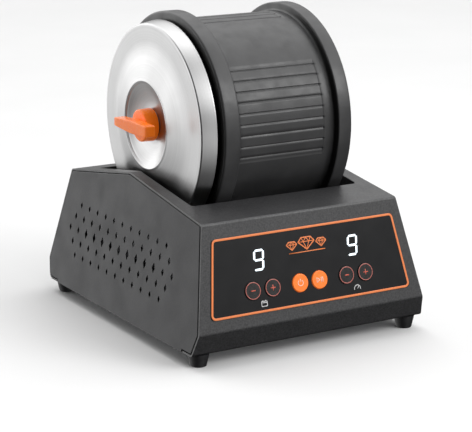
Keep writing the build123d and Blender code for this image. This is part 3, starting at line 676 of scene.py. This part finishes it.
def roller_rubber():
    """Matt black rubber, lightly ground so that it grips."""
    graph = plain("roller_rubber", (0.028, 0.028, 0.030), 0.7)
    tint(graph, mottle(graph, 500.0), (0.020, 0.020, 0.022), (0.040, 0.040, 0.042))
    relief(graph, mottle(graph, 1500.0, 3.0), 0.00008)
    return graph[0]


dress(roller_rubber(), "drive_roller_sleeves", "idler_roller_sleeves", "drive_belt", "lid_seal")

# ---------------------------------------------------------------- barrel
# The barrel is one moulding of black rubber: two smooth flanges run on the rollers, and between them four
# groups of nine shallow grooves give the hand a grip. Its inside has ten flat sides that lift the stones.
BARREL_Y, BARREL_Z = 0.0045, 0.1371


def barrel_rubber():
    """Satin black rubber: slow cloudy shading, a fine grain, and a roughness that wanders with handling.
    Faces towards the lid are painted darker than the rest, to deepen the shade between flange and lid."""
    graph = plain("barrel_rubber", (0.030, 0.030, 0.031), 0.40)
    tint(graph, mottle(graph, 70.0, 5.0), (0.030, 0.030, 0.031), (0.044, 0.044, 0.045))
    graph[2].new(spread(graph, mottle(graph, 120.0, 4.0), 0.34, 0.48), graph[3].inputs["Roughness"])
    relief(graph, mottle(graph, 1600.0, 3.0), 0.00004)
    shape = graph[1].new("ShaderNodeNewGeometry")
    parts = graph[1].new("ShaderNodeSeparateXYZ")
    graph[2].new(shape.outputs["Normal"], parts.inputs["Vector"])
    repaint_where(graph, spread(graph, parts.outputs["X"], 1.0, 0.0, -0.9, -0.6), (0.004, 0.004, 0.004))
    return graph[0]


def corner_path(corners, radii, count=6):
    """Open path through the corners, ends kept as they are. Each inner corner becomes a circular arc,
    drawn as a rational curve whose middle point weighs the sine of half the corner."""
    corners = np.asarray(corners, float)
    before, after = corners[:-2] - corners[1:-1], corners[2:] - corners[1:-1]
    before /= np.linalg.norm(before, axis=1)[:, None]
    after /= np.linalg.norm(after, axis=1)[:, None]
    half = np.arccos(np.clip((before * after).sum(1), -1, 1)) / 2
    radii = np.broadcast_to(radii, half.shape)
    reach = (radii / np.tan(half))[:, None]
    t = np.linspace(0, 1, count)[None, :, None]
    first, middle, last = corners[1:-1] + before * reach, corners[1:-1], corners[1:-1] + after * reach
    weight = np.sin(half)[:, None, None]
    blend = (1 - t) ** 2 + 2 * weight * t * (1 - t) + t ** 2
    arcs = (1 - t) ** 2 * first[:, None] + 2 * weight * t * (1 - t) * middle[:, None]
    arcs = (arcs + t ** 2 * last[:, None]) / blend
    return np.concatenate([corners[:1], arcs.reshape(-1, 2), corners[-1:]])


def densify(path, step):
    """The path with each long run divided evenly, so that no run is longer than step."""
    lengths = np.linalg.norm(np.diff(path, axis=0), axis=1)
    counts = np.maximum(np.ceil(lengths / step).astype(int), 1)
    starts = np.repeat(path[:-1], counts, axis=0)
    runs = np.repeat(np.diff(path, axis=0), counts, axis=0)
    part = np.concatenate([np.arange(c) / c for c in counts])
    return np.concatenate([starts + runs * part[:, None], path[-1:]])


def around_barrel(x, radius, angle):
    """Points round the barrel's axis: angle 0 faces the rear and grows upwards."""
    x, radius, angle = np.broadcast_arrays(x, radius, angle)
    return np.stack([x, BARREL_Y + radius * np.cos(angle), BARREL_Z + radius * np.sin(angle)], axis=2)


FLANGE_R, BODY_R = 0.0754, 0.0698
GROOVE_X = (-0.030, 0.036)
GROOVE_STEP = 6.05   # degrees
GROUP_FIRST = 180 - 36.8
# A pad's first edge, the foot of its slope, and the same at its far end, in degrees from the first groove.
PAD_EDGES = (-2.2, -1.75, 8 * GROOVE_STEP + 2.8, 8 * GROOVE_STEP + 3.2)
GROOVE_WALL = (0.00045, 0.0019)   # the upper wall is steep and the lower one long
GROOVE_DEPTH = 0.0010
PAD_DEPTH = 0.0003


def groove_depth(x, angle_deg, radius):
    """Depth below the smooth body: nine V grooves a group, set in a pad that is sunk a little all over.
    Distances are arcs at the body's radius, and both fade out over a millimetre at the pad's ends."""
    depth = np.zeros(np.broadcast(x, angle_deg).shape)
    arc_length = math.radians(1) * radius
    for quarter in range(4):
        turned = (angle_deg - GROUP_FIRST - 90 * quarter + 180) % 360 - 180
        nearest = np.clip(np.round(turned / GROOVE_STEP), 0, 8)
        away = (turned - nearest * GROOVE_STEP) * arc_length
        wall = np.where(away < 0, GROOVE_WALL[0], GROOVE_WALL[1])
        depth = np.maximum(depth, GROOVE_DEPTH * np.clip(1 - np.abs(away) / wall, 0, 1))
        edge = np.minimum(turned - PAD_EDGES[0], PAD_EDGES[3] - turned) * arc_length / 0.0005
        depth = np.maximum(depth, PAD_DEPTH * np.clip(edge, 0, 1))
    ends = np.minimum(x - GROOVE_X[0], GROOVE_X[1] - x) / 0.0008
    return depth * np.clip(ends, 0, 1)


# Columns of points stand close together where a groove or a pad's edge needs them.
offsets = np.array([-0.45, -0.37, -0.2, 0.0, 0.3, 0.7, 1.2, 1.56, 1.7])
group_starts = GROUP_FIRST + 90 * np.arange(4)[:, None]
groove_angles = (group_starts + GROOVE_STEP * np.arange(9)[None, :]).ravel()
angles_deg = np.concatenate([(groove_angles[:, None] + offsets).ravel(),
                             (group_starts + np.array(PAD_EDGES)).ravel(), np.arange(0, 360, 2.5)]) % 360
angles_deg = np.unique(np.round(angles_deg, 2))
angles_deg = angles_deg[np.diff(angles_deg, append=angles_deg[0] + 360) > 0.08]

# The section, as (x, radius) from the closed end's middle, over both flanges, and back inside.
MOUTH_X, CAVITY_R = -0.0500, 0.0577
outer_corners = np.array([
    (0.0525, 0.0), (0.0525, 0.016), (0.0544, 0.016), (0.0544, 0.0187), (0.0525, 0.0187), (0.0525, 0.0575),
    (0.0544, 0.0585), (0.0544, FLANGE_R), (0.0436, FLANGE_R), (0.0436, BODY_R), (-0.0321, BODY_R),
    (-0.0321, FLANGE_R), (-0.0443, FLANGE_R), (-0.0443, 0.0660), (-0.0565, 0.0660), (-0.0565, 0.0615),
    (MOUTH_X, 0.0615), (MOUTH_X, CAVITY_R), (0.0460, CAVITY_R), (0.0460, 0.0)])
outer_radii = np.array([0.0006, 0.0006, 0.0006, 0.0006, 0.0015, 0.0006, 0.0016, 0.0012, 0.0014, 0.0020,
                        0.0012, 0.0016, 0.0010, 0.0009, 0.0006, 0.0006, 0.0006, 0.0020])
profile = densify(corner_path(outer_corners, outer_radii), 0.004)
body_run = np.abs(profile[:, 1] - BODY_R) < 1e-6
first_body, last_body = np.flatnonzero(body_run)[[0, -1]]
fade = np.array([0, 0.0004, 0.0008])
stations = [np.linspace(0.0410, -0.0295, 24), GROOVE_X[0] + fade, GROOVE_X[1] - fade]
body_x = np.unique(np.concatenate(stations))[::-1]
body_profile = np.stack([body_x, np.full(len(body_x), BODY_R)], axis=1)
profile = np.concatenate([profile[:first_body + 1], body_profile, profile[last_body:]])

angle = np.radians(angles_deg)[:, None]
x, radius = profile[:, 0][None, :], profile[:, 1][None, :]
on_body = np.abs(radius - BODY_R) < 1e-5
radius = radius - np.where(on_body, groove_depth(x, angles_deg[:, None], BODY_R), 0.0)
# Inside, the radius follows a ten-sided shape with eased corners.
CAVITY_CORNER_R, FLATNESS = 0.0590, 0.85
cavity = (profile[:, 1] <= CAVITY_R + 1e-6) & (profile[:, 0] >= MOUTH_X)
cavity &= np.arange(len(profile)) > last_body
ten_sided = np.cos(math.pi / 10) / np.cos((angle % (math.pi / 5)) - math.pi / 10)
inside = radius * (CAVITY_CORNER_R / CAVITY_R) * (1 - FLATNESS + FLATNESS * ten_sided) * 0.995
radius = np.where(cavity[None, :], inside, radius)
drum = place("barrel", grid_mesh("barrel", around_barrel(x, radius, angle), close_u=True), barrel_rubber())
drum = join([drum])
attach(drum, "barrel")
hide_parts("barrel_drum", "barrel_end")


# ---------------------------------------------------------------- lid
# The outer lid is spun from steel sheet: a skirt over the barrel's mouth, a flat rim, a low dome and a dish
# for the knob. A flat inner lid of the same steel closes the mouth.
def spun_steel():
    """Satin steel with fine rings round the barrel's axis: noise that runs with the distance from it."""
    graph = plain("spun_steel", (0.72, 0.72, 0.72), 0.28, metallic=1.0)
    coordinates = graph[1].new("ShaderNodeTexCoord")
    centred = graph[1].new("ShaderNodeMapping")
    centred.inputs["Location"].default_value = (0.0, -BARREL_Y, -BARREL_Z)
    graph[2].new(coordinates.outputs["Object"], centred.inputs["Vector"])
    parts = graph[1].new("ShaderNodeSeparateXYZ")
    graph[2].new(centred.outputs["Vector"], parts.inputs["Vector"])
    y, z = parts.outputs["Y"], parts.outputs["Z"]
    squares = reckon(graph, "MULTIPLY_ADD", z, z, reckon(graph, "MULTIPLY", y, y))
    rings = graph[1].new("ShaderNodeCombineXYZ")
    graph[2].new(reckon(graph, "SQRT", squares), rings.inputs["X"])
    graph[2].new(parts.outputs["X"], rings.inputs["Y"])
    noise = graph[1].new("ShaderNodeTexNoise")
    noise.inputs["Scale"].default_value = 2600.0
    noise.inputs["Detail"].default_value = 4.0
    graph[2].new(rings.outputs["Vector"], noise.inputs["Vector"])
    tint(graph, noise.outputs["Fac"], (0.41, 0.41, 0.41), (0.47, 0.47, 0.47))
    graph[2].new(spread(graph, mottle(graph, 60.0, 3.0), 0.30, 0.38), graph[3].inputs["Roughness"])
    relief(graph, noise.outputs["Fac"], 0.000006)
    return graph[0]


LID_SHEET = 0.0009
RING_R, CREST_R, DISH_FLAT_R = 0.0563, 0.0298, 0.0120
FACE_X, CREST_X, DISH_FLOOR_X = -0.0578, -0.0632, -0.0565
DOME_START = 0.4


def lid_face(radius):
    """Height of the lid's face at a radius. The dome leaves the flat ring on a parabola over its first
    part, then rises evenly to the crest; the dish falls from there, steeply at first, to its flat floor."""
    climb = np.clip((RING_R - radius) / (RING_R - CREST_R), 0, 1)
    rise = np.where(climb < DOME_START, climb ** 2 / (2 * DOME_START), climb - DOME_START / 2)
    dome = FACE_X + (CREST_X - FACE_X) * rise / (1 - DOME_START / 2)
    part = np.clip((CREST_R - radius) / (CREST_R - DISH_FLAT_R), 0, 1)
    return dome + (DISH_FLOOR_X - CREST_X) * (1 - (1 - part) ** 1.7)


# The face is sampled more closely at the crest, and a running mean eases its bends.
LID_HOLE_R = 0.0034
near_crest = np.linspace(-0.0015, 0.0015, 17) + CREST_R
face_r = np.unique(np.concatenate([np.linspace(LID_HOLE_R, 0.0655, 120), near_crest]))
face_x = lid_face(face_r)
kernel = np.ones(5) / 5
face_x[4:-4] = np.convolve(face_x, kernel, "same")[4:-4]
face = np.stack([face_x, face_r], axis=1)
rim_corners = [(FACE_X, 0.0658), (FACE_X, 0.0680), (-0.0475, 0.0698), (-0.0464, 0.06995), (-0.0464, 0.0690)]
rim = corner_path(rim_corners, [0.0013, 0.0005, 0.0004])
back = np.array([(-0.0475, 0.0688), (-0.0552, 0.0674), (-0.0564, 0.0666), (FACE_X + LID_SHEET, 0.0654)])
under = face[::-1][:-1] + np.array([LID_SHEET, 0.0])
under = under[under[:, 1] < 0.0648]
section = np.concatenate([face, rim, back, under, [(DISH_FLOOR_X + LID_SHEET, LID_HOLE_R)]])
around = np.radians(np.arange(0, 360, 1.25))[:, None]
lid_points = around_barrel(section[:, 0][None, :], section[:, 1][None, :], around)
steel = spun_steel()
lid_mesh = grid_mesh("domed_lid", lid_points, close_u=True, close_v=True)
lid = join([place("domed_lid", lid_mesh, steel)])
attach(lid, "barrel")
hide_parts("outer_lid")
dress(steel, "inner_lid")


# ---------------------------------------------------------------- knob
# A wing knob moulded in bright orange plastic round a brass insert, screwed onto the lid's stud.
def knob_plastic():
    """Glossy orange plastic with a trace of depth, and a polish dulled here and there."""
    graph = plain("knob_plastic", (0.98, 0.20, 0.012), 0.24)
    tint(graph, mottle(graph, 90.0), (0.95, 0.18, 0.009), (1.0, 0.22, 0.015))
    graph[3].inputs["Specular IOR Level"].default_value = 0.3
    glow(graph, (1.0, 0.19, 0.006), 0.22)
    graph[2].new(spread(graph, mottle(graph, 260.0), 0.20, 0.32), graph[3].inputs["Roughness"])
    relief(graph, mottle(graph, 1500.0, 2.0), 0.00001)
    graph[3].inputs["Subsurface Weight"].default_value = 0.08
    graph[3].inputs["Subsurface Radius"].default_value = (0.002, 0.0008, 0.0003)
    return graph[0]


KNOB_FRONT_X, HUB_FACE_X, HUB_BACK_X, HUB_R = -0.0750, -0.0674, -0.0580, 0.0113
BORE_R, BORE_END_X = 0.00325, -0.0727
WING_HALF, WING_BACK_X, WING_SQUARENESS = 0.0232, -0.0669, 6.0


def squared(wave):
    """A sine or cosine drawn out towards +1 and -1: its size to the power 1 / SQUARENESS, its sign kept."""
    return np.sign(wave) * np.abs(wave) ** (1 / WING_SQUARENESS)


def wing_points():
    """The wing: a boxy superellipsoid along Y, whose height falls from the hub to its tips and more so
    towards the rear. Along the bar, place is sin s and size cos s; round it, x is cos a and z sin a, all
    squared up."""
    s = np.linspace(-math.pi / 2, math.pi / 2, 45)
    even = np.linspace(-0.995, 0.995, 41)
    s = np.unique(np.concatenate([s, np.arcsin(np.sign(even) * np.abs(even) ** WING_SQUARENESS)]))[:, None]
    t = squared(np.sin(s))
    size = squared(np.clip(np.cos(s), 0, 1))
    a = (np.arange(64) + 0.5)[None, :] * math.pi / 32
    half_height = 0.0044 - np.where(t > 0, 0.0015, 0.0004) * np.abs(t)
    middle, half_depth = (KNOB_FRONT_X + WING_BACK_X) / 2, (WING_BACK_X - KNOB_FRONT_X) / 2
    x = middle + half_depth * size * squared(np.cos(a))
    z = BARREL_Z + half_height * size * squared(np.sin(a))
    return np.stack(np.broadcast_arrays(x, BARREL_Y + WING_HALF * t + 0 * a, z), axis=2)


def hub_points():
    """The hub: a turned profile with an eased front edge and a bore for the stud, closed on itself."""
    corners = [(HUB_BACK_X, BORE_R), (HUB_BACK_X, HUB_R), (HUB_FACE_X, HUB_R - 0.0004), (HUB_FACE_X, 0.0)]
    hub = corner_path(corners, [0.0006, 0.0011])
    bore = np.array([(BORE_END_X, 0.0), (BORE_END_X, BORE_R)])
    path = np.concatenate([hub, bore])
    angle = np.radians(np.arange(0, 360, 3.75))[:, None]
    return around_barrel(path[:, 0][None, :], path[:, 1][None, :], angle)


orange_moulding = knob_plastic()
wing_mesh = grid_mesh("wing_knob_moulding", wing_points(), close_v=True)
wing = place("wing_knob_moulding", wing_mesh, orange_moulding)
hub = place("hub", grid_mesh("hub", hub_points(), close_u=True, close_v=True), orange_moulding)
knob = join([wing, hub])
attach(knob, "knob")
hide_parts("wing_knob")
